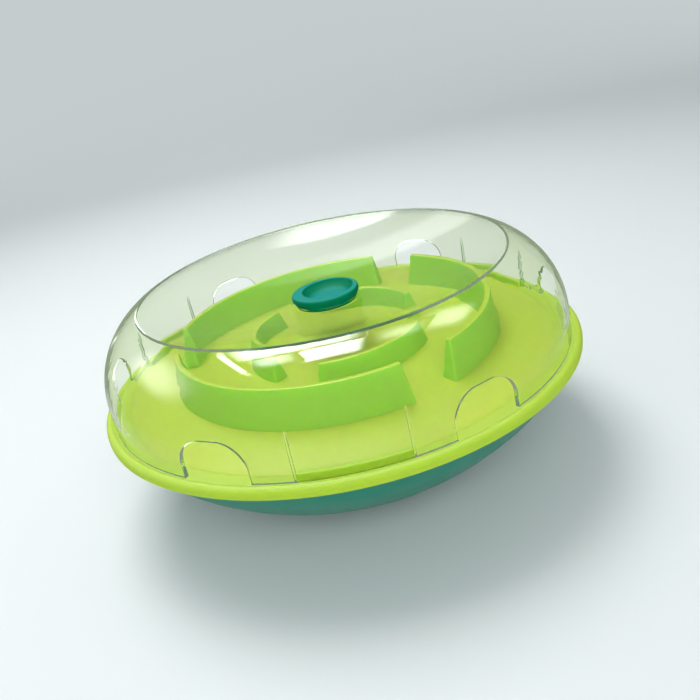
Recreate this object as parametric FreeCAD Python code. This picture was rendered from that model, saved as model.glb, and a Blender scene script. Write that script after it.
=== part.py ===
import FreeCAD, Part
import math
import os

# Dog wobble bowl: a clear dished cover with six exit arches over a green maze tray,
# on a round weighted bowl with a small flat foot. Millimetres, +Z up.
# The origin is the centre of the foot, on the surface the bowl stands on.
# The near side is -Y. Heights named "above the seam" count from where tray and bowl meet.

# Whole object
seam_height = 69.0
rim_radius = 140.0
panel_count = 3
panel_azimuth = -90.0
fit_gap = 0.3

# Base bowl, a spherical shell with a flat foot
bowl_radius = 138.0
bowl_wall = 2.6
foot_radius = 34.0
foot_wall = 3.0

# Tray rim, ledge and floor, heights above the seam
rim_height = 5.2
rim_round = 3.3
ledge_height = 4.1
floor_edge_radius = 126.0
floor_break_height = 8.0
floor_centre_height = 10.2
tray_wall = 2.5
skirt_depth = 4.0
skirt_wall = 2.2

# Maze walls of the tray, heights above the seam, azimuths from a panel's middle
outer_maze_radius = 91.1
outer_maze_top = 29.8
outer_maze_top_width = 3.0
outer_maze_base_width = 9.4
outer_maze_gap_angle = 18.8
inner_maze_radius = 51.2
inner_maze_top = 22.6
inner_maze_top_width = 3.0
inner_maze_base_width = 9.0
inner_maze_span = 78.0
inner_maze_offset = 27.3
left_maze_radius = 47.2
left_maze_span = 89.0
left_maze_turn = 1.8
maze_end_draft = 8.0
maze_shell = 2.0
maze_round = 0.8

# Lock lugs of the tray, just inside the cover's edge
lug_height = 8.0
lug_width = 3.4
lug_round = 0.6

# Clear cover, heights above the seam
cover_radius = 134.4
cover_wall = 2.2
cover_draft = 1.0
cover_straight = 13.0
crest_radius = 105.8
crest_height = 58.6
crest_round = 0.6
plug_seat_height = 38.9
plug_seat_radius = 21.5
fill_hole_radius = 15.5
neck_wall = 2.0
neck_depth = 0.8
arch_azimuth = 28.6
arch_width = 36.6
arch_height = 21.0
arch_corner = 14.0
arch_round = 0.6
guide_rib_azimuth = 11.8
guide_rib_width = 1.0
guide_rib_depth = 2.0

# Fill plug
plug_radius = 19.6
plug_thickness = 5.1
plug_round = 1.1
plug_step_radius = 18.4
plug_step_height = 2.1
plug_skirt_wall = 1.6
plug_skirt_depth = 4.2
plug_plate = 1.6
scoop_radius = 15.1
scoop_offset = 1.8
scoop_back = 1.4
scoop_depth = 5.0
scoop_round = 9.0
scoop_lip = 0.4

# Ballast disc on three bosses in the bowl
ballast_radius = 48.0
ballast_thickness = 10.0
ballast_underside = 11.5
ballast_chamfer = 1.5
ballast_bolt_radius = 34.0
ballast_boss_radius = 5.0

# Screw wells of the bowl and bosses of the tray
well_circle_radius = 66.0
well_azimuth = 60.0
well_radius = 5.4
well_wall = 2.0
well_top = 36.0
well_plate = 3.0
tray_boss_radius = 5.0

# Screws
shank_radius = 1.9
thread_gap = 0.05
head_radius = 4.0
head_height = 2.6
head_round = 0.9
tip_radius = 0.85
ballast_screw_length = 16.0
tray_screw_length = 14.0
pilot_extra = 2.0
drive_length = 4.4
drive_width = 1.0
drive_depth = 1.4

OVERLAP = 1.0
TOLERANCE = 0.01


def point(r, z):
    return FreeCAD.Vector(r, 0, z)


def middle_of_arc(centre, start, end):
    # Point halfway along the shorter arc from start to end about the centre
    radius = math.dist(centre, start)
    first = math.atan2(start[1] - centre[1], start[0] - centre[0])
    last = math.atan2(end[1] - centre[1], end[0] - centre[0])
    angle = (first + last) / 2
    return (centre[0] + radius * math.cos(angle), centre[1] + radius * math.sin(angle))


def profile(start, *steps):
    # Closed outline in the XZ plane: a step is a corner, or (arc centre, arc end)
    edges = []
    here = start
    for step in steps:
        curved = isinstance(step[0], tuple)
        target = step[1] if curved else step
        if curved:
            middle = middle_of_arc(step[0], here, target)
            edges.append(Part.Arc(point(*here), point(*middle), point(*target)).toShape())
        else:
            edges.append(Part.LineSegment(point(*here), point(*target)).toShape())
        here = target
    edges.append(Part.LineSegment(point(*here), point(*start)).toShape())
    return Part.Face(Part.Wire(edges))


def turned(face, angle=360.0, start=0.0):
    solid = face.revolve(FreeCAD.Vector(0, 0, 0), FreeCAD.Vector(0, 0, 1), angle)
    solid.rotate(FreeCAD.Vector(0, 0, 0), FreeCAD.Vector(0, 0, 1), start)
    return solid


def at_azimuth(shape, azimuth):
    # The shape is modelled on the +X side and carried round to its azimuth
    placed = shape.copy()
    placed.rotate(FreeCAD.Vector(0, 0, 0), FreeCAD.Vector(0, 0, 1), azimuth)
    return placed


def panel_azimuths(offset=0.0):
    return [panel_azimuth + offset + index * 360.0 / panel_count for index in range(panel_count)]


def cylinder(radius, low, high, distance=0.0):
    return Part.makeCylinder(radius, high - low, FreeCAD.Vector(distance, 0, low))


def circles_meet(centre_a, radius_a, centre_b, radius_b):
    # Of the two points where the circles cross, the one farther from the axis
    gap = math.dist(centre_a, centre_b)
    along = (radius_a ** 2 - radius_b ** 2 + gap ** 2) / (2 * gap)
    across = math.sqrt(radius_a ** 2 - along ** 2)
    ux = (centre_b[0] - centre_a[0]) / gap
    uz = (centre_b[1] - centre_a[1]) / gap
    foot = (centre_a[0] + along * ux, centre_a[1] + along * uz)
    one = (foot[0] - across * uz, foot[1] + across * ux)
    other = (foot[0] + across * uz, foot[1] - across * ux)
    return max(one, other)


# Sphere of the bowl: it passes through the foot's edge and the bowl's outer edge at the seam
sphere_centre = (0.0, (bowl_radius ** 2 + seam_height ** 2 - foot_radius ** 2) / (2 * seam_height))
outer_sphere = math.hypot(foot_radius, sphere_centre[1])
inner_sphere = outer_sphere - bowl_wall


def inside_bowl(height):
    # Inner radius of the bowl at a height above the surface it stands on
    return math.sqrt(inner_sphere ** 2 - (sphere_centre[1] - height) ** 2)


def make_base_bowl():
    edge = (bowl_radius, seam_height)
    inner_edge = (inside_bowl(seam_height), seam_height)
    inner_foot = (inside_bowl(foot_wall), foot_wall)
    filled = turned(profile((0, 0), (foot_radius, 0), (sphere_centre, edge), (0, seam_height)))
    bowl = turned(profile((0, 0), (foot_radius, 0), (sphere_centre, edge), inner_edge,
                          (sphere_centre, inner_foot), (0, foot_wall)))
    posts = []
    bores = []
    pilot_bottom = ballast_underside + ballast_thickness - ballast_screw_length - pilot_extra
    for azimuth in panel_azimuths():
        post = cylinder(ballast_boss_radius, 0, ballast_underside, ballast_bolt_radius)
        pilot = cylinder(shank_radius + thread_gap, pilot_bottom, ballast_underside + OVERLAP,
                         ballast_bolt_radius)
        posts.append(at_azimuth(post, azimuth))
        bores.append(at_azimuth(pilot, azimuth))
    for azimuth in panel_azimuths(well_azimuth):
        post = cylinder(well_radius + well_wall, 0, well_top, well_circle_radius)
        well = cylinder(well_radius, -OVERLAP, well_top - well_plate, well_circle_radius)
        hole = cylinder(shank_radius + fit_gap, 0, well_top + OVERLAP, well_circle_radius)
        posts.append(at_azimuth(post, azimuth))
        bores.append(at_azimuth(well.fuse(hole), azimuth))
    solid_posts = [post.common(filled) for post in posts]
    return bowl.fuse(solid_posts).removeSplitter().cut(bores)


ledge = seam_height + ledge_height
floor_break_radius = outer_maze_radius + outer_maze_base_width / 2
floor_break = seam_height + floor_break_height
floor_centre = seam_height + floor_centre_height


def dome_centre(lift):
    # Centre of the arc that the floor follows inside the outer maze wall
    rise = floor_centre_height - floor_break_height
    radius = (floor_break_radius ** 2 + rise ** 2) / (2 * rise)
    return (0.0, floor_centre + lift - radius)


def floor_height(radius):
    centre = dome_centre(0.0)
    dome = floor_centre - centre[1]
    return centre[1] + math.sqrt(dome ** 2 - radius ** 2)


def ridge(radius, low, high, base_width, top_width, span, azimuth):
    # Tapered wall along an arc, its base width at the low height
    face = profile((radius - base_width / 2, low), (radius + base_width / 2, low),
                   (radius + top_width / 2, high), (radius - top_width / 2, high))
    return turned(face, span, azimuth - span / 2)


def drafted_ridge(radius, low, high, base_width, top_width, span, azimuth, span_height):
    # The same wall with ends that lean outwards going down; its span is measured at span_height
    run = (span_height - low) * math.tan(math.radians(maze_end_draft))
    spare = 2 * math.degrees(run / (radius - base_width))
    wall = ridge(radius, low, high, base_width, top_width, span + spare, azimuth)
    reach = 2 * base_width
    for side in (-1, 1):
        end = Part.makeBox(2 * reach, reach, 4 * reach,
                           FreeCAD.Vector(radius - reach, min(0, side * reach), -2 * reach))
        end.rotate(FreeCAD.Vector(0, 0, 0), FreeCAD.Vector(1, 0, 0), side * maze_end_draft)
        end.translate(FreeCAD.Vector(0, 0, span_height))
        wall = wall.cut(at_azimuth(end, azimuth + side * span / 2))
    return wall


def rounded(solid, radius, low):
    # Every edge rounded that rises above the low height
    edges = [edge for edge in solid.Edges if edge.BoundBox.ZMax > low + radius]
    return solid.makeFillet(radius, edges)


def maze_wall(radius, top_height, base_width, top_width, span, azimuth):
    # A hollow wall: the solid that stands on the floor, and the hollow under it
    base = floor_height(radius)
    top = seam_height + top_height
    slope = (base_width - top_width) / (top - base)
    sunk_width = base_width + slope * tray_wall / 2
    wall = drafted_ridge(radius, base - tray_wall / 2, top, sunk_width, top_width, span, azimuth, top)
    core_low = base - tray_wall - OVERLAP
    core_low_width = base_width + slope * (base - core_low) - 2 * maze_shell
    core_high = min(top - maze_shell, core_low + (core_low_width - maze_shell / 2) / slope)
    core_high_width = core_low_width - slope * (core_high - core_low)
    core_span = span - 2 * math.degrees(maze_shell / radius)
    core = drafted_ridge(radius, core_low, core_high, core_low_width, core_high_width, core_span,
                         azimuth, top)
    return rounded(wall, maze_round, base), core


def make_maze_tray():
    rim = seam_height + rim_height
    ledge_radius = cover_radius + fit_gap
    skirt_radius = inside_bowl(seam_height - skirt_depth) - fit_gap
    under = ledge - tray_wall
    rim_centre = (rim_radius - rim_round, rim - rim_round)
    plate = turned(profile(
        (0, floor_centre - tray_wall),
        (dome_centre(-tray_wall), (floor_break_radius, floor_break - tray_wall)),
        (floor_edge_radius, under), (skirt_radius - skirt_wall, under),
        (skirt_radius - skirt_wall, seam_height - skirt_depth), (skirt_radius, seam_height - skirt_depth),
        (skirt_radius, seam_height), (rim_radius, seam_height), (rim_radius, rim_centre[1]),
        (rim_centre, (rim_centre[0], rim)), (ledge_radius, ledge), (floor_edge_radius, ledge),
        (floor_break_radius, floor_break), (dome_centre(0.0), (0, floor_centre))))
    added = []
    cut = []
    outer_span = 360.0 / panel_count - outer_maze_gap_angle
    for azimuth in panel_azimuths(arch_azimuth + 180.0 / panel_count):
        wall, core = maze_wall(outer_maze_radius, outer_maze_top, outer_maze_base_width,
                               outer_maze_top_width, outer_span, azimuth)
        added.append(wall)
        cut.append(core)
    # The inner wall on the left stands nearer the middle, and it is longer than the other two
    front_azimuth, right_azimuth, left_azimuth = panel_azimuths(inner_maze_offset)
    for radius, span, azimuth in (
            (inner_maze_radius, inner_maze_span, front_azimuth),
            (inner_maze_radius, inner_maze_span, right_azimuth),
            (left_maze_radius, left_maze_span, left_azimuth + left_maze_turn)):
        wall, core = maze_wall(radius, inner_maze_top, inner_maze_base_width,
                               inner_maze_top_width, span, azimuth)
        added.append(wall)
        cut.append(core)
    lug_radius = cover_radius - cover_wall - fit_gap - lug_width / 2
    lug_side = math.degrees((guide_rib_width / 2 + fit_gap) / lug_radius)
    lug_span = 2 * (guide_rib_azimuth - lug_side)
    for azimuth in panel_azimuths():
        lug = ridge(lug_radius, ledge - OVERLAP, seam_height + lug_height, lug_width, lug_width,
                    lug_span, azimuth)
        added.append(rounded(lug, lug_round, ledge))
    for azimuth in panel_azimuths(well_azimuth):
        boss_top = floor_height(well_circle_radius) - tray_wall / 2
        boss = cylinder(tray_boss_radius, well_top, boss_top, well_circle_radius)
        pilot_depth = tray_screw_length - well_plate + pilot_extra
        pilot = cylinder(shank_radius + thread_gap, well_top - OVERLAP, well_top + pilot_depth,
                         well_circle_radius)
        added.append(at_azimuth(boss, azimuth))
        cut.append(at_azimuth(pilot, azimuth))
    return plate.fuse(added).removeSplitter().cut(cut)


cover_base = ledge + fit_gap
plug_seat = seam_height + plug_seat_height


def shoulder():
    # Where the straight side ends, and the arc's centre and radius from there to the crest
    lean = math.radians(cover_draft)
    start = (cover_radius - cover_straight * math.tan(lean), cover_base + cover_straight)
    crest = (crest_radius, seam_height + crest_height)
    inward = (-math.cos(lean), -math.sin(lean))
    chord = (crest[0] - start[0], crest[1] - start[1])
    radius = (chord[0] ** 2 + chord[1] ** 2) / (2 * (inward[0] * chord[0] + inward[1] * chord[1]))
    centre = (start[0] + radius * inward[0], start[1] + radius * inward[1])
    return start, crest, centre, radius


def arch_azimuths():
    return panel_azimuths(-arch_azimuth) + panel_azimuths(arch_azimuth)


def on_arch_lip(edge):
    # Whether the edge is an arch's outline on the outer face of the cover
    middle = edge.valueAt((edge.FirstParameter + edge.LastParameter) / 2)
    if middle.z > cover_base + arch_height + TOLERANCE:
        return False
    side_top, crest, shoulder_centre, shoulder_radius = shoulder()
    distance = math.hypot(middle.x, middle.y)
    if middle.z > side_top[1]:
        off_face = math.dist((distance, middle.z), shoulder_centre) - shoulder_radius
    else:
        off_face = distance + (middle.z - cover_base) * math.tan(math.radians(cover_draft)) - cover_radius
    widest = math.degrees(math.asin(arch_width / 2 / distance)) + TOLERANCE
    azimuth = math.degrees(math.atan2(middle.y, middle.x))
    turns = [abs((azimuth - arch + 180) % 360 - 180) for arch in arch_azimuths()]
    return abs(off_face) < TOLERANCE and min(turns) < widest


def make_clear_cover():
    side_top, crest, shoulder_centre, shoulder_radius = shoulder()
    lean = math.radians(cover_draft)
    drop = crest[1] - plug_seat
    dish_rise = (crest_radius ** 2 - plug_seat_radius ** 2 + drop ** 2) / (2 * drop)
    dish_centre = (0.0, plug_seat + dish_rise)
    dish_radius = math.hypot(plug_seat_radius, dish_rise)
    under_dish = dish_radius + cover_wall
    under_seat = dish_centre[1] - math.sqrt(under_dish ** 2 - plug_seat_radius ** 2)
    inner_crest = circles_meet(shoulder_centre, shoulder_radius - cover_wall, dish_centre, under_dish)
    inner_side_top = (side_top[0] - cover_wall * math.cos(lean), side_top[1] - cover_wall * math.sin(lean))
    inner_base = (cover_radius - cover_wall / math.cos(lean), cover_base)
    neck_radius = fill_hole_radius + neck_wall
    base = (cover_radius, cover_base)
    shell = turned(profile(
        base, side_top, (shoulder_centre, crest), (dish_centre, (plug_seat_radius, plug_seat)),
        (fill_hole_radius, plug_seat), (fill_hole_radius, under_seat - neck_depth),
        (neck_radius, under_seat - neck_depth), (neck_radius, under_seat), (plug_seat_radius, under_seat),
        (dish_centre, inner_crest), (shoulder_centre, inner_side_top), inner_base))
    crest_edges = [edge for edge in shell.Edges
                   if edge.BoundBox.ZLength < TOLERANCE and abs(edge.BoundBox.ZMin - crest[1]) < TOLERANCE]
    shell = shell.makeFillet(crest_round, crest_edges)
    filled = turned(profile((0, cover_base), base, side_top, (shoulder_centre, crest), (0, crest[1])))
    rib = Part.makeBox(guide_rib_depth + cover_wall / 2, guide_rib_width, crest[1] - cover_base,
                       FreeCAD.Vector(cover_radius - cover_wall - guide_rib_depth, -guide_rib_width / 2,
                                      cover_base))
    ribs = []
    for azimuth in panel_azimuths(-guide_rib_azimuth) + panel_azimuths(guide_rib_azimuth):
        ribs.append(at_azimuth(rib, azimuth).common(filled))
    cover = shell.fuse(ribs).removeSplitter()
    cover = cover.cut([at_azimuth(make_arch(), azimuth) for azimuth in arch_azimuths()])
    return cover.makeFillet(arch_round, [edge for edge in cover.Edges if on_arch_lip(edge)])


def make_arch():
    # Prism of an arch with a short flat top, cut outwards through the cover's side
    half = arch_width / 2
    flat = half - arch_corner
    start = cover_radius - arch_width
    top = cover_base + arch_height
    spring = top - arch_corner
    bulge = arch_corner * math.sqrt(0.5)
    outline = [(-half, cover_base - OVERLAP), (half, cover_base - OVERLAP), (half, spring),
               (flat + bulge, spring + bulge), (flat, top), (-flat, top), (-flat - bulge, spring + bulge),
               (-half, spring)]
    left_low, right_low, right_spring, right_bulge, right_top, left_top, left_bulge, left_spring = [
        FreeCAD.Vector(start, y, z) for y, z in outline]
    wire = Part.Wire([
        Part.LineSegment(left_low, right_low).toShape(),
        Part.LineSegment(right_low, right_spring).toShape(),
        Part.Arc(right_spring, right_bulge, right_top).toShape(),
        Part.LineSegment(right_top, left_top).toShape(),
        Part.Arc(left_top, left_bulge, left_spring).toShape(),
        Part.LineSegment(left_spring, left_low).toShape()])
    return Part.Face(wire).extrude(FreeCAD.Vector(rim_radius - start, 0, 0))


def make_fill_plug():
    low = plug_seat + fit_gap
    top = low + plug_thickness
    skirt_radius = fill_hole_radius - fit_gap
    skirt_inner = skirt_radius - plug_skirt_wall
    step = low + plug_step_height
    plug = turned(profile(
        (0, low - plug_plate), (skirt_inner, low - plug_plate), (skirt_inner, low - plug_skirt_depth),
        (skirt_radius, low - plug_skirt_depth), (skirt_radius, low), (plug_step_radius, low),
        (plug_step_radius, step), (plug_radius, step), (plug_radius, top - plug_round),
        ((plug_radius - plug_round, top - plug_round), (plug_radius - plug_round, top)), (0, top)))
    # The scoop's side curves in from a steep lip to a small flat floor
    floor = top - scoop_depth
    floor_radius = scoop_radius - math.sqrt(scoop_round ** 2 - (scoop_round - scoop_depth) ** 2)
    scoop = turned(profile(
        (0, floor), (floor_radius, floor), ((floor_radius, floor + scoop_round), (scoop_radius, top)),
        (scoop_radius, top + OVERLAP), (0, top + OVERLAP)))
    scoop.translate(FreeCAD.Vector(scoop_offset, scoop_back, 0))
    plug = plug.cut(scoop)
    lip = [edge for edge in plug.Edges
           if edge.BoundBox.ZLength < TOLERANCE and abs(edge.BoundBox.ZMin - top) < TOLERANCE
           and abs(edge.BoundBox.XLength - 2 * scoop_radius) < TOLERANCE]
    return plug.makeFillet(scoop_lip, lip)


def make_ballast():
    top = ballast_underside + ballast_thickness
    inset = ballast_radius - ballast_chamfer
    disc = turned(profile(
        (0, ballast_underside), (inset, ballast_underside),
        (ballast_radius, ballast_underside + ballast_chamfer), (ballast_radius, top - ballast_chamfer),
        (inset, top), (0, top)))
    hole = cylinder(shank_radius + fit_gap, ballast_underside - OVERLAP, top + OVERLAP, ballast_bolt_radius)
    return disc.cut([at_azimuth(hole, azimuth) for azimuth in panel_azimuths()])


def make_screw(length):
    # Pan head above z = 0, shank below it with a blunt tip, cross recess in the head
    tip_height = shank_radius - tip_radius
    body = turned(profile(
        (0, -length), (tip_radius, -length), (shank_radius, -length + tip_height), (shank_radius, 0),
        (head_radius, 0), (head_radius, head_height - head_round),
        ((head_radius - head_round, head_height - head_round), (head_radius - head_round, head_height)),
        (0, head_height)))
    slots = []
    for quarter in (0, 90):
        slot = Part.makeBox(drive_length, drive_width, drive_depth + OVERLAP,
                            FreeCAD.Vector(-drive_length / 2, -drive_width / 2, head_height - drive_depth))
        slots.append(at_azimuth(slot, quarter))
    return body.cut(slots)


def place_screw(length, distance, height, azimuth, upwards):
    screw = make_screw(length)
    if upwards:
        screw.rotate(FreeCAD.Vector(0, 0, 0), FreeCAD.Vector(1, 0, 0), 180)
    screw.translate(FreeCAD.Vector(distance, 0, height))
    return at_azimuth(screw, azimuth)


def make_nodes():
    nodes = {
        "base_bowl": make_base_bowl(),
        "maze_tray": make_maze_tray(),
        "clear_cover": make_clear_cover(),
        "fill_plug": make_fill_plug(),
        "ballast_weight": make_ballast(),
    }
    ballast_top = ballast_underside + ballast_thickness
    for number, azimuth in enumerate(panel_azimuths(), 1):
        nodes[f"ballast_screw_{number}"] = place_screw(
            ballast_screw_length, ballast_bolt_radius, ballast_top, azimuth, False)
    for number, azimuth in enumerate(panel_azimuths(well_azimuth), 1):
        nodes[f"tray_screw_{number}"] = place_screw(
            tray_screw_length, well_circle_radius, well_top - well_plate, azimuth, True)
    return nodes


os.makedirs("parts", exist_ok=True)
for name, shape in make_nodes().items():
    solids = len(shape.Solids)
    box = shape.BoundBox
    print(f"{name}: {solids} solid, valid {shape.isValid()}, {shape.Volume / 1000:.2f} cm3, "
          f"z {box.ZMin:.2f} to {box.ZMax:.2f}")
    shape.exportStep(f"parts/{name}.step")
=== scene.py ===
import math

import bpy
from mathutils import Matrix, Vector

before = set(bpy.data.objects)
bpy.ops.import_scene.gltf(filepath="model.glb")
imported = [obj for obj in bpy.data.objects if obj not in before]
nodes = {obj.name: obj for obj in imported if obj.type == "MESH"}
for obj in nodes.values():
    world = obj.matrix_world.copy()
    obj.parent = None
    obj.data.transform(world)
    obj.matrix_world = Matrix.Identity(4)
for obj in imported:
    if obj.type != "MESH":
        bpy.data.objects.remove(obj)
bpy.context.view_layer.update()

print("frame loaded:", len(nodes), "nodes")


# Shader helpers

anyBounce = 0.5              # a ray whose count of bounces is above this has bounced
levelPlane = (1, 1, 0)       # drops the height of a place
black = (0, 0, 0, 1)


def startMaterial(name):
    material = bpy.data.materials.new(name)
    material.use_nodes = True
    tree = material.node_tree
    return material, tree, tree.nodes["Principled BSDF"]


def addNode(tree, kind, settings=None, values=None):
    node = tree.nodes.new(kind)
    for name, value in (settings or {}).items():
        setattr(node, name, value)
    for name, value in (values or {}).items():
        node.inputs[name].default_value = value
    return node


def addMath(tree, operation, values=None):
    return addNode(tree, "ShaderNodeMath", {"operation": operation}, values)


def addVectorMath(tree, operation, values=None):
    return addNode(tree, "ShaderNodeVectorMath", {"operation": operation}, values)


def addBlend(tree, first=black, second=black):
    return addNode(tree, "ShaderNodeMix", {"data_type": "RGBA"}, {"A": first, "B": second})


def addGroup(tree, group, values=None):
    return addNode(tree, "ShaderNodeGroup", {"node_tree": group, "name": group.name}, values)


def addSocket(group, name, direction, kind, value=None):
    socket = group.interface.new_socket(
        name=name, in_out=direction, socket_type="NodeSocket" + kind)
    if value is not None:
        socket.default_value = value


def startGroup(name, given, made):
    group = bpy.data.node_groups.new(name, "ShaderNodeTree")
    for socket, kind, value in given:
        addSocket(group, socket, "INPUT", kind, value)
    for socket, kind in made:
        addSocket(group, socket, "OUTPUT", kind)
    return group, addNode(group, "NodeGroupInput"), addNode(group, "NodeGroupOutput")


def addDirectLook(tree, rays):
    # True for a ray from the eye, also where the clear cover has bent it
    direct = addMath(tree, "MAXIMUM")
    tree.links.new(rays.outputs["Is Camera Ray"], direct.inputs[0])
    tree.links.new(rays.outputs["Is Transmission Ray"], direct.inputs[1])
    return direct.outputs["Value"]


def addMirrored(tree, rays):
    # True for a ray that gloss has mirrored
    mirrored = addMath(tree, "GREATER_THAN", {1: anyBounce})
    tree.links.new(rays.outputs["Glossy Depth"], mirrored.inputs[0])
    return mirrored.outputs["Value"]


def dress(nodeNames, material):
    for nodeName in nodeNames:
        piece = nodes[nodeName]
        piece.data.materials.clear()
        piece.data.materials.append(material)


# Moulded skin: slow drift of the pigment, a fine pebbled grain and patches that are duller

skinLook = {
    "scales": {"Drift Scale": 14.0, "Pebble Scale": 900.0, "Dull Scale": 45.0},    # per metre
    "drift": {"Detail": 3.0, "Roughness": 0.6},
    "dull": {"Detail": 4.0, "Roughness": 0.65},
    "pebble": {"Detail": 2.0, "Roughness": 0.5},
    "dullRange": {"From Min": 0.35, "From Max": 0.65},
    "pebbleDepth": 0.0002,   # metres
}


def makeMouldedSkin(look):
    group, given, made = startGroup(
        "mouldedSkin",
        [("Pigment", "Color", None), ("Thin Pigment", "Color", None)]
        + [(name, "Float", scale) for name, scale in look["scales"].items()]
        + [("Pebble Strength", "Float", None), ("Smoothest", "Float", None),
           ("Dullest", "Float", None)],
        [("Color", "Color"), ("Roughness", "Float"), ("Normal", "Vector")])
    place = addNode(group, "ShaderNodeTexCoord")
    drift = addNode(group, "ShaderNodeTexNoise", values=look["drift"])
    blend = addBlend(group)
    dull = addNode(group, "ShaderNodeTexNoise", values=look["dull"])
    dullRange = addNode(group, "ShaderNodeMapRange", values=look["dullRange"])
    pebble = addNode(group, "ShaderNodeTexNoise", values=look["pebble"])
    bump = addNode(group, "ShaderNodeBump", values={"Distance": look["pebbleDepth"]})
    link = group.links.new
    for texture, scale in ((drift, "Drift Scale"), (dull, "Dull Scale"), (pebble, "Pebble Scale")):
        link(place.outputs["Object"], texture.inputs["Vector"])
        link(given.outputs[scale], texture.inputs["Scale"])
    link(drift.outputs["Fac"], blend.inputs["Factor"])
    link(given.outputs["Pigment"], blend.inputs["A"])
    link(given.outputs["Thin Pigment"], blend.inputs["B"])
    link(blend.outputs["Result"], made.inputs["Color"])
    link(dull.outputs["Fac"], dullRange.inputs["Value"])
    link(given.outputs["Smoothest"], dullRange.inputs["To Min"])
    link(given.outputs["Dullest"], dullRange.inputs["To Max"])
    link(dullRange.outputs["Result"], made.inputs["Roughness"])
    link(pebble.outputs["Fac"], bump.inputs["Height"])
    link(given.outputs["Pebble Strength"], bump.inputs["Strength"])
    link(bump.outputs["Normal"], made.inputs["Normal"])
    return group


def makeSlopeShadeLevel():
    # Mask for painted light and shade, which goes from 0 on steep faces to 1 on flat ones
    group, given, made = startGroup(
        "slopeLevel", [("Steep", "Float", None), ("Flat", "Float", None)], [("Level", "Float")])
    place = addNode(group, "ShaderNodeTexCoord")
    split = addNode(group, "ShaderNodeSeparateXYZ")
    level = addNode(group, "ShaderNodeMapRange")
    link = group.links.new
    link(place.outputs["Normal"], split.inputs["Vector"])
    link(split.outputs["Z"], level.inputs["Value"])
    link(given.outputs["Steep"], level.inputs["From Min"])
    link(given.outputs["Flat"], level.inputs["From Max"])
    link(level.outputs["Result"], made.inputs["Level"])
    return group


def makeRingPlace():
    # How far a place lies from the bowl's upright middle line, and how high
    group, _, made = startGroup("ringPlace", [], [("Reach", "Float"), ("Height", "Float")])
    place = addNode(group, "ShaderNodeTexCoord")
    flat = addVectorMath(group, "MULTIPLY", {1: levelPlane})
    reach = addVectorMath(group, "LENGTH")
    split = addNode(group, "ShaderNodeSeparateXYZ")
    link = group.links.new
    link(place.outputs["Object"], flat.inputs[0])
    link(place.outputs["Object"], split.inputs["Vector"])
    link(flat.outputs["Vector"], reach.inputs[0])
    link(reach.outputs["Value"], made.inputs["Reach"])
    link(split.outputs["Z"], made.inputs["Height"])
    return group


mouldedSkin = makeMouldedSkin(skinLook)
slopeLevel = makeSlopeShadeLevel()
ringPlace = makeRingPlace()


def mouldedPlastic(look):
    material, tree, shader = startMaterial(look["name"])
    skin = addGroup(tree, mouldedSkin, look["skin"])
    for given, taken in (("Color", "Base Color"), ("Roughness", "Roughness"), ("Normal", "Normal")):
        tree.links.new(skin.outputs[given], shader.inputs[taken])
    for socket, value in look["shader"].items():
        shader.inputs[socket].default_value = value
    return material


def paintSlopeShade(material, look):
    # Painted light and shade: the pigment follows the slope. Steep faces get a deeper, darker
    # pigment as painted shade, and flat faces a lighter one as painted light
    tree = material.node_tree
    level = addGroup(tree, slopeLevel, look["slope"])
    for socket, (shadedOnSteep, litOnFlat) in look["slopeShadedPigments"].items():
        blend = addBlend(tree, shadedOnSteep, litOnFlat)
        tree.links.new(level.outputs["Level"], blend.inputs["Factor"])
        tree.links.new(blend.outputs["Result"], tree.nodes[mouldedSkin.name].inputs[socket])


# Green tray

trayLook = {
    "name": "limePlastic",
    "slope": {"Steep": 0.3, "Flat": 0.95},
    "slopeShadedPigments": {            # painted shade on a steep face, painted light on a flat one
        "Pigment": ((0.365, 0.680, 0.094, 1), (0.475, 0.605, 0.076, 1)),
        "Thin Pigment": ((0.355, 0.665, 0.088, 1), (0.465, 0.595, 0.070, 1)),
    },
    "rim": {"From Min": 0.123, "From Max": 0.130},     # metres from the middle
    "rimPigment": (0.395, 0.565, 0.046, 1),
    "rimDullness": 0.62,
    "skin": {"Smoothest": 0.33, "Dullest": 0.37, "Pebble Strength": 0.015},
    "shader": {
        "IOR": 1.5,
        "Specular IOR Level": 0.10,
        "Subsurface Weight": 0.6,
        "Subsurface Radius": (0.5, 1.0, 0.1),
        "Subsurface Scale": 0.006,
    },
}


def paintRim(material, look):
    # The rim outside the cover has a shade of its own and a duller skin
    tree = material.node_tree
    skin = tree.nodes[mouldedSkin.name]
    ring = addGroup(tree, ringPlace)
    rim = addNode(tree, "ShaderNodeMapRange", values=look["rim"])
    dull = addMath(tree, "MULTIPLY", {1: look["rimDullness"]})
    duller = addMath(tree, "MAXIMUM")
    link = tree.links.new
    link(ring.outputs["Reach"], rim.inputs["Value"])
    for socket in look["slopeShadedPigments"]:
        blend = addBlend(tree, second=look["rimPigment"])
        link(rim.outputs["Result"], blend.inputs["Factor"])
        link(skin.inputs[socket].links[0].from_socket, blend.inputs["A"])
        link(blend.outputs["Result"], skin.inputs[socket])
    link(rim.outputs["Result"], dull.inputs[0])
    link(dull.outputs["Value"], duller.inputs[0])
    link(skin.outputs["Roughness"], duller.inputs[1])
    link(duller.outputs["Value"], tree.nodes["Principled BSDF"].inputs["Roughness"])


limePlastic = mouldedPlastic(trayLook)
# Painted shade on the tray's steep walls, painted light on its flat floor and tops
paintSlopeShade(limePlastic, trayLook)
paintRim(limePlastic, trayLook)
dress(["maze_tray"], limePlastic)


# Teal bowl

bowlLook = {
    "name": "tealPlastic",
    "skin": {
        "Pigment": (0.004, 0.215, 0.143, 1), "Thin Pigment": (0.005, 0.225, 0.150, 1),
        "Smoothest": 0.28, "Dullest": 0.36, "Pebble Strength": 0.02,
    },
    "shader": {"IOR": 1.5, "Specular IOR Level": 0.2},
}
dress(["base_bowl"], mouldedPlastic(bowlLook))


# Fill plug

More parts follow.
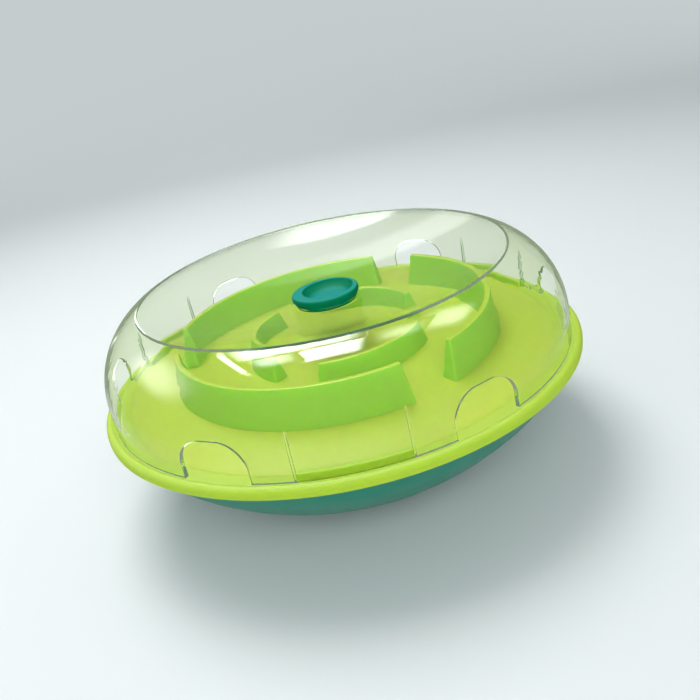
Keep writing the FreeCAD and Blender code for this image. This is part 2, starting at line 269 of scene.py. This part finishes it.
plugLook = {
    "name": "brightTealPlastic",
    "slope": {"Steep": 0.82, "Flat": 0.999},
    "slopeShadedPigments": {            # painted shade and painted green reflection of the tray on a steep face, painted sheen on a flat one
        "Pigment": ((0.001, 0.180, 0.088, 1), (0.016, 0.258, 0.218, 1)),
        "Thin Pigment": ((0.001, 0.190, 0.093, 1), (0.018, 0.266, 0.225, 1)),
    },
    "skin": {"Smoothest": 0.44, "Dullest": 0.52, "Pebble Strength": 0.01},
    "shader": {"IOR": 1.5, "Specular IOR Level": 0.01},
}
plugPlastic = mouldedPlastic(plugLook)
# Painted shade and painted reflection of the green tray on the plug's steep faces, a painted sheen
# on its flat top
paintSlopeShade(plugPlastic, plugLook)
dress(["fill_plug"], plugPlastic)


# Clear cover

coverLook = {
    "shader": {"IOR": 1.49, "Transmission Weight": 1.0},
    "dishTint": (0.975, 0.982, 0.960, 1),   # each surface that light crosses
    "sideTint": (0.950, 0.968, 0.900, 1),
    "shadowTint": (0.97, 0.98, 0.975, 1),
    "edgeShadeTint": (0.80, 0.88, 0.83, 1),
    "smear": {"Scale": 22.0, "Detail": 5.0},
    "smearRange": {"From Min": 0.4, "From Max": 0.7, "To Min": 0.015, "To Max": 0.05},
    "wave": {"Scale": 60.0, "Detail": 1.0},
    "waveBump": {"Strength": 0.02, "Distance": 0.001},
    "bendShare": 0.65,       # light that only bends, where the wall doesn't mirror all of it
    "mirrorAll": 0.98,
    "mostBends": 3.5,        # bounces after which light goes straight on
    "crest": (0.1058, 0.1276, 0),           # metres from the middle, and up
    "crestFade": {"From Min": 0.0024, "From Max": 0.0014},   # metres from the crest's line
}


def addClearSkin(tree, look):
    # Faint smears and slow waves of the moulding
    place = addNode(tree, "ShaderNodeTexCoord")
    smear = addNode(tree, "ShaderNodeTexNoise", values=look["smear"])
    smearRange = addNode(tree, "ShaderNodeMapRange", values=look["smearRange"])
    wave = addNode(tree, "ShaderNodeTexNoise", values=look["wave"])
    bump = addNode(tree, "ShaderNodeBump", values=look["waveBump"])
    link = tree.links.new
    link(place.outputs["Object"], smear.inputs["Vector"])
    link(place.outputs["Object"], wave.inputs["Vector"])
    link(smear.outputs["Fac"], smearRange.inputs["Value"])
    link(wave.outputs["Fac"], bump.inputs["Height"])
    return smearRange.outputs["Result"], bump.outputs["Normal"]


def addClearTint(tree, look, ring):
    # The tall side is a little greener than the dish
    side = addMath(tree, "GREATER_THAN", {1: look["crest"][0]})
    tint = addBlend(tree, look["dishTint"], look["sideTint"])
    tree.links.new(ring.outputs["Reach"], side.inputs[0])
    tree.links.new(side.outputs["Value"], tint.inputs["Factor"])
    return tint.outputs["Result"]


def addCrestMask(tree, look, ring):
    # The sharp crest stays a grey line, with no glint along it
    section = addNode(tree, "ShaderNodeCombineXYZ")
    away = addVectorMath(tree, "DISTANCE", {1: look["crest"]})
    crest = addNode(tree, "ShaderNodeMapRange", values=look["crestFade"])
    link = tree.links.new
    link(ring.outputs["Reach"], section.inputs["X"])
    link(ring.outputs["Height"], section.inputs["Y"])
    link(section.outputs["Vector"], away.inputs[0])
    link(away.outputs["Value"], crest.inputs["Value"])
    return crest.outputs["Result"]


def addBendShare(tree, look, ring, rays, mirror):
    # A thin clean wall mirrors less than solid glass, so part of the light only bends.
    # A mirrored ray isn't mirrored again.
    partly = addMath(tree, "LESS_THAN", {1: look["mirrorAll"]})
    atLeast = addMath(tree, "MAXIMUM", {1: look["bendShare"]})
    orCrest = addMath(tree, "MAXIMUM")
    share = addMath(tree, "MULTIPLY")
    link = tree.links.new
    link(mirror.outputs["Fac"], partly.inputs[0])
    link(rays.outputs["Glossy Depth"], atLeast.inputs[0])
    link(atLeast.outputs["Value"], orCrest.inputs[0])
    link(addCrestMask(tree, look, ring), orCrest.inputs[1])
    link(orCrest.outputs["Value"], share.inputs[0])
    link(partly.outputs["Value"], share.inputs[1])
    return share.outputs["Value"]


def clearPlastic(look):
    material, tree, shader = startMaterial("clearPlastic")
    link = tree.links.new
    for socket, value in look["shader"].items():
        shader.inputs[socket].default_value = value
    refraction = {"IOR": look["shader"]["IOR"]}
    rays = addNode(tree, "ShaderNodeLightPath")
    ring = addGroup(tree, ringPlace)
    bend = addNode(tree, "ShaderNodeBsdfRefraction", values=refraction)
    mirror = addNode(tree, "ShaderNodeFresnel", values=refraction)
    roughness, normal = addClearSkin(tree, look)
    for piece in (shader, bend):
        link(roughness, piece.inputs["Roughness"])
    for piece in (shader, bend, mirror):
        link(normal, piece.inputs["Normal"])
    # Principled takes the root of its colour at each surface, so its tint is squared
    tint = addClearTint(tree, look, ring)
    squared = addVectorMath(tree, "MULTIPLY")
    link(tint, bend.inputs["Color"])
    link(tint, squared.inputs[0])
    link(tint, squared.inputs[1])
    link(squared.outputs["Vector"], shader.inputs["Base Color"])
    calm = addNode(tree, "ShaderNodeMixShader")
    link(addBendShare(tree, look, ring, rays, mirror), calm.inputs["Fac"])
    link(shader.outputs["BSDF"], calm.inputs[1])
    link(bend.outputs["BSDF"], calm.inputs[2])
    # Light caught too long in the wall goes straight on, through a grey-green tint that is painted
    # shade along the cover's crest and edge lines
    caught = addMath(tree, "GREATER_THAN", {1: look["mostBends"]})
    edgeShade = addNode(tree, "ShaderNodeBsdfTransparent", values={"Color": look["edgeShadeTint"]})
    clear = addNode(tree, "ShaderNodeMixShader")
    link(rays.outputs["Ray Depth"], caught.inputs[0])
    link(caught.outputs["Value"], clear.inputs["Fac"])
    link(calm.outputs["Shader"], clear.inputs[1])
    link(edgeShade.outputs["BSDF"], clear.inputs[2])
    # Light for the tray passes straight through too
    either = addMath(tree, "MAXIMUM")
    straight = addNode(tree, "ShaderNodeBsdfTransparent", values={"Color": look["shadowTint"]})
    lit = addNode(tree, "ShaderNodeMixShader")
    link(rays.outputs["Is Shadow Ray"], either.inputs[0])
    link(rays.outputs["Is Diffuse Ray"], either.inputs[1])
    link(either.outputs["Value"], lit.inputs["Fac"])
    link(clear.outputs["Shader"], lit.inputs[1])
    link(straight.outputs["BSDF"], lit.inputs[2])
    link(lit.outputs["Shader"], tree.nodes["Material Output"].inputs["Surface"])
    return material


dress(["clear_cover"], clearPlastic(coverLook))


# Ballast and screws

ironLook = {
    "name": "castIron",
    "colour": (0.045, 0.045, 0.048, 1),
    "worn": (0.11, 0.105, 0.10, 1),
    "grain": {"Scale": 420.0, "Detail": 6.0},
    "grainBump": {"Strength": 0.4, "Distance": 0.0004},
    "shader": {"Metallic": 0.8, "Roughness": 0.6},
}
steelLook = {
    "name": "platedSteel",
    "colour": (0.62, 0.62, 0.64, 1),
    "worn": (0.66, 0.60, 0.44, 1),
    "grain": {"Scale": 300.0, "Detail": 3.0},
    "grainRange": {"To Min": 0.22, "To Max": 0.4},
    "shader": {"Metallic": 1.0},
}


def grainedMetal(look):
    material, tree, shader = startMaterial(look["name"])
    for socket, value in look["shader"].items():
        shader.inputs[socket].default_value = value
    place = addNode(tree, "ShaderNodeTexCoord")
    grain = addNode(tree, "ShaderNodeTexNoise", values=look["grain"])
    blend = addBlend(tree, look["colour"], look["worn"])
    tree.links.new(place.outputs["Object"], grain.inputs["Vector"])
    tree.links.new(grain.outputs["Fac"], blend.inputs["Factor"])
    tree.links.new(blend.outputs["Result"], shader.inputs["Base Color"])
    return material, tree, shader, grain.outputs["Fac"]


def castIron(look):
    material, tree, shader, grain = grainedMetal(look)
    bump = addNode(tree, "ShaderNodeBump", values=look["grainBump"])
    tree.links.new(grain, bump.inputs["Height"])
    tree.links.new(bump.outputs["Normal"], shader.inputs["Normal"])
    return material


def platedSteel(look):
    material, tree, shader, grain = grainedMetal(look)
    rough = addNode(tree, "ShaderNodeMapRange", values=look["grainRange"])
    tree.links.new(grain, rough.inputs["Value"])
    tree.links.new(rough.outputs["Result"], shader.inputs["Roughness"])
    return material


dress(["ballast_weight"], castIron(ironLook))
dress([name for name in nodes if "_screw_" in name], platedSteel(steelLook))
print("materials done")


# Camera at the photograph's view

cameraView = {
    "place": (0.01325, -0.41278, 0.25500),
    "heading": 90.9,         # degrees from +X, seen from above
    "elevation": 23.878,     # degrees that it looks down
    "roll": 12.522,          # degrees that it leans to the right
    "focalPixels": 752.49,
    "imagePixels": 700,
    "sensorWidth": 36.0,
    "nearest": 0.01,
}


def placeCamera(view):
    data = bpy.data.cameras.new("photoCamera")
    data.sensor_width = view["sensorWidth"]
    data.lens = view["focalPixels"] * view["sensorWidth"] / view["imagePixels"]
    data.clip_start = view["nearest"]
    camera = bpy.data.objects.new("photoCamera", data)
    bpy.context.scene.collection.objects.link(camera)
    heading = math.radians(view["heading"])
    down = math.radians(view["elevation"])
    forward = Vector((
        math.cos(heading) * math.cos(down), math.sin(heading) * math.cos(down), -math.sin(down)))
    level = forward.to_track_quat("-Z", "Y").to_matrix().to_4x4()
    lean = Matrix.Rotation(-math.radians(view["roll"]), 4, "Z")
    camera.matrix_world = Matrix.Translation(view["place"]) @ level @ lean
    bpy.context.scene.camera = camera


placeCamera(cameraView)


# Pale sweep: a floor, a quarter round and a wall behind

sweepForm = {
    "floorReach": 40.0,
    "wallDistance": 2.2,
    "wallHeight": 5.0,
    "curveRadius": 1.0,
    "curveSteps": 16,
}
sweepLook = {
    "shader": {
        "Base Color": (0.68, 0.725, 0.735, 1),
        "Roughness": 0.8,
        "Specular IOR Level": 0.2,
    },
    "duskRange": {"From Min": 0.16, "From Max": 0.42},      # metres from the bowl
    "duskLight": (0.30, 0.36, 0.26, 1),
    "paleRange": {"From Min": 0.9, "From Max": 2.0},        # metres from the bowl
}
paleDistance = (0.56, 0.605, 0.62, 1)


def makeSweepMesh(form):
    # One profile pulled sideways
    reach = form["floorReach"]
    profile = [(-reach, 0.0)]
    turnStart = form["wallDistance"] - form["curveRadius"]
    for step in range(form["curveSteps"] + 1):
        angle = math.radians(90) * step / form["curveSteps"]
        profile.append((turnStart + form["curveRadius"] * math.sin(angle),
                        form["curveRadius"] * (1 - math.cos(angle))))
    profile.append((form["wallDistance"], form["wallHeight"]))
    points = [(side, y, z) for y, z in profile for side in (-reach, reach)]
    faces = [(2 * k, 2 * k + 1, 2 * k + 3, 2 * k + 2) for k in range(len(profile) - 1)]
    mesh = bpy.data.meshes.new("paleSweep")
    mesh.from_pydata(points, [], faces)
    mesh.shade_smooth()
    return mesh


def palePaper(look):
    material, tree, shader = startMaterial("palePaper")
    for socket, value in look["shader"].items():
        shader.inputs[socket].default_value = value
    link = tree.links.new
    rays = addNode(tree, "ShaderNodeLightPath")
    place = addNode(tree, "ShaderNodeTexCoord")
    reach = addVectorMath(tree, "LENGTH")
    link(place.outputs["Object"], reach.inputs[0])
    # A direct look sees the far sweep as pale as the world around it, so no end of it shows
    paleRange = addNode(
        tree, "ShaderNodeMapRange", {"interpolation_type": "SMOOTHSTEP"}, look["paleRange"])
    paleShare = addMath(tree, "MULTIPLY")
    pale = addNode(tree, "ShaderNodeEmission", values={"Color": paleDistance})
    seen = addNode(tree, "ShaderNodeMixShader")
    link(reach.outputs["Value"], paleRange.inputs["Value"])
    link(paleRange.outputs["Result"], paleShare.inputs[0])
    link(addDirectLook(tree, rays), paleShare.inputs[1])
    link(paleShare.outputs["Value"], seen.inputs["Fac"])
    link(shader.outputs["BSDF"], seen.inputs[1])
    link(pale.outputs["Emission"], seen.inputs[2])
    # Gloss sees the near floor as it is and what lies further off as dusk.
    # That keeps a veil off the dish.
    duskRange = addNode(tree, "ShaderNodeMapRange", values=look["duskRange"])
    duskShare = addMath(tree, "MULTIPLY")
    dusk = addNode(tree, "ShaderNodeEmission", values={"Color": look["duskLight"]})
    mix = addNode(tree, "ShaderNodeMixShader")
    link(reach.outputs["Value"], duskRange.inputs["Value"])
    link(duskRange.outputs["Result"], duskShare.inputs[0])
    link(addMirrored(tree, rays), duskShare.inputs[1])
    link(duskShare.outputs["Value"], mix.inputs["Fac"])
    link(seen.outputs["Shader"], mix.inputs[1])
    link(dusk.outputs["Emission"], mix.inputs[2])
    link(mix.outputs["Shader"], tree.nodes["Material Output"].inputs["Surface"])
    return material


sweep = bpy.data.objects.new("paleSweep", makeSweepMesh(sweepForm))
bpy.context.scene.collection.objects.link(sweep)
sweep.data.materials.append(palePaper(sweepLook))


# Lamps

lampDefaults = {"colour": (1.0, 1.0, 1.0), "faces": "floor", "seenIn": "glossy"}
lamps = [
    # Soft overhead box, which lights the maze
    {"name": "overheadBox", "place": (-0.22, 0.36, 1.15), "size": (0.71, 1.0), "power": 11.5,
     "softEdge": 0.15, "colour": (1.0, 0.99, 0.97), "seenIn": "diffuse"},
    # Panels that only gloss shows, in the order of their highlights from the back to the front
    {"name": "farStrip", "place": (-0.20, 1.45, 1.16), "size": (0.44, 0.66), "power": 4.4,
     "softEdge": 0.6, "colour": (1.0, 1.0, 0.96)},
    {"name": "backStrip", "place": (-0.27, 0.715, 1.16), "size": (0.60, 0.55), "power": 17.0,
     "softEdge": 0.18},
    {"name": "crestBand", "place": (-0.23, 0.30, 1.16), "size": (0.74, 0.44), "power": 58.0,
     "softEdge": 0.35},
    {"name": "middlePanel", "place": (-0.37, 0.02, 1.16), "size": (0.34, 0.44), "power": 20.0,
     "softEdge": 0.8},
    {"name": "frontPanel", "place": (-0.04, 0.00, 1.16), "size": (0.40, 0.54), "power": 48.0,
     "softEdge": 0.35},
    {"name": "frontVeil", "place": (0.36, 0.02, 1.16), "size": (0.40, 0.40), "power": 12.0,
     "softEdge": 0.9, "colour": (1.0, 1.0, 0.94)},
    {"name": "leftStrip", "place": (-0.63, 0.10, 1.16), "size": (0.08, 0.86), "power": 14.0,
     "softEdge": 0.6},
    {"name": "rightBox", "place": (0.74, 0.12, 1.16), "size": (0.64, 0.60), "power": 34.0,
     "softEdge": 0.8, "colour": (1.0, 0.99, 0.92)},
    {"name": "leftBox", "place": (-1.66, 0.42, 1.03), "size": (1.9, 1.2), "power": 130.0,
     "softEdge": 0.9, "colour": (1.0, 0.99, 0.92), "faces": "bowl"},
    # Broad fill from the front for the faces of the maze
    {"name": "frontFill", "place": (0.15, -1.45, 0.95), "size": (1.8, 1.2), "power": 30.0,
     "softEdge": 0.5, "colour": (1.0, 1.0, 0.98), "faces": "bowl", "seenIn": "diffuse"},
]
lampMiddle = 0.5             # a lamp's sides run from 0 to 1


def softenEdge(data, share):
    # Light that fades out towards the four edges of the lamp, over this share of its half width
    data.use_nodes = True
    tree = data.node_tree
    link = tree.links.new
    spot = addNode(tree, "ShaderNodeNewGeometry")
    split = addNode(tree, "ShaderNodeSeparateXYZ")
    both = addMath(tree, "MULTIPLY")
    link(spot.outputs["Parametric"], split.inputs["Vector"])
    for slot, axis in enumerate(("X", "Y")):
        fold = addMath(tree, "PINGPONG", {1: lampMiddle})
        rise = addNode(tree, "ShaderNodeMapRange", {"interpolation_type": "SMOOTHSTEP"},
                       {"From Max": share * lampMiddle})
        link(split.outputs[axis], fold.inputs[0])
        link(fold.outputs["Value"], rise.inputs["Value"])
        link(rise.outputs["Result"], both.inputs[slot])
    link(both.outputs["Value"], tree.nodes["Emission"].inputs["Strength"])


def placeLamp(lamp):
    data = bpy.data.lights.new(lamp["name"], "AREA")
    data.shape = "RECTANGLE"
    data.size, data.size_y = lamp["size"]
    data.energy = lamp["power"]
    data.color = lamp["colour"]
    light = bpy.data.objects.new(lamp["name"], data)
    bpy.context.scene.collection.objects.link(light)
    place = Vector(lamp["place"])
    light.location = place
    if lamp["faces"] == "bowl":
        light.rotation_euler = (-place).to_track_quat("-Z", "Y").to_euler()
    light.visible_diffuse = lamp["seenIn"] == "diffuse"
    light.visible_glossy = lamp["seenIn"] == "glossy"
    light.visible_transmission = False
    softenEdge(data, lamp["softEdge"])


for lamp in lamps:
    placeLamp({**lampDefaults, **lamp})


# World: even light, a darker one for what gloss mirrors, and the pale distance for the eye

worldLook = {"light": (0.3864, 0.4032, 0.42, 1), "gloss": (0.1764, 0.21, 0.1764, 1)}


def lightWorld(look):
    world = bpy.data.worlds.new("studioWorld")
    bpy.context.scene.world = world
    world.use_nodes = True
    tree = world.node_tree
    link = tree.links.new
    rays = addNode(tree, "ShaderNodeLightPath")
    seen = addBlend(tree, look["light"], paleDistance)
    pick = addBlend(tree, second=look["gloss"])
    link(addDirectLook(tree, rays), seen.inputs["Factor"])
    link(seen.outputs["Result"], pick.inputs["A"])
    link(addMirrored(tree, rays), pick.inputs["Factor"])
    link(pick.outputs["Result"], tree.nodes["Background"].inputs["Color"])


lightWorld(worldLook)
bpy.context.scene.view_settings.view_transform = "Standard"
print("studio done")
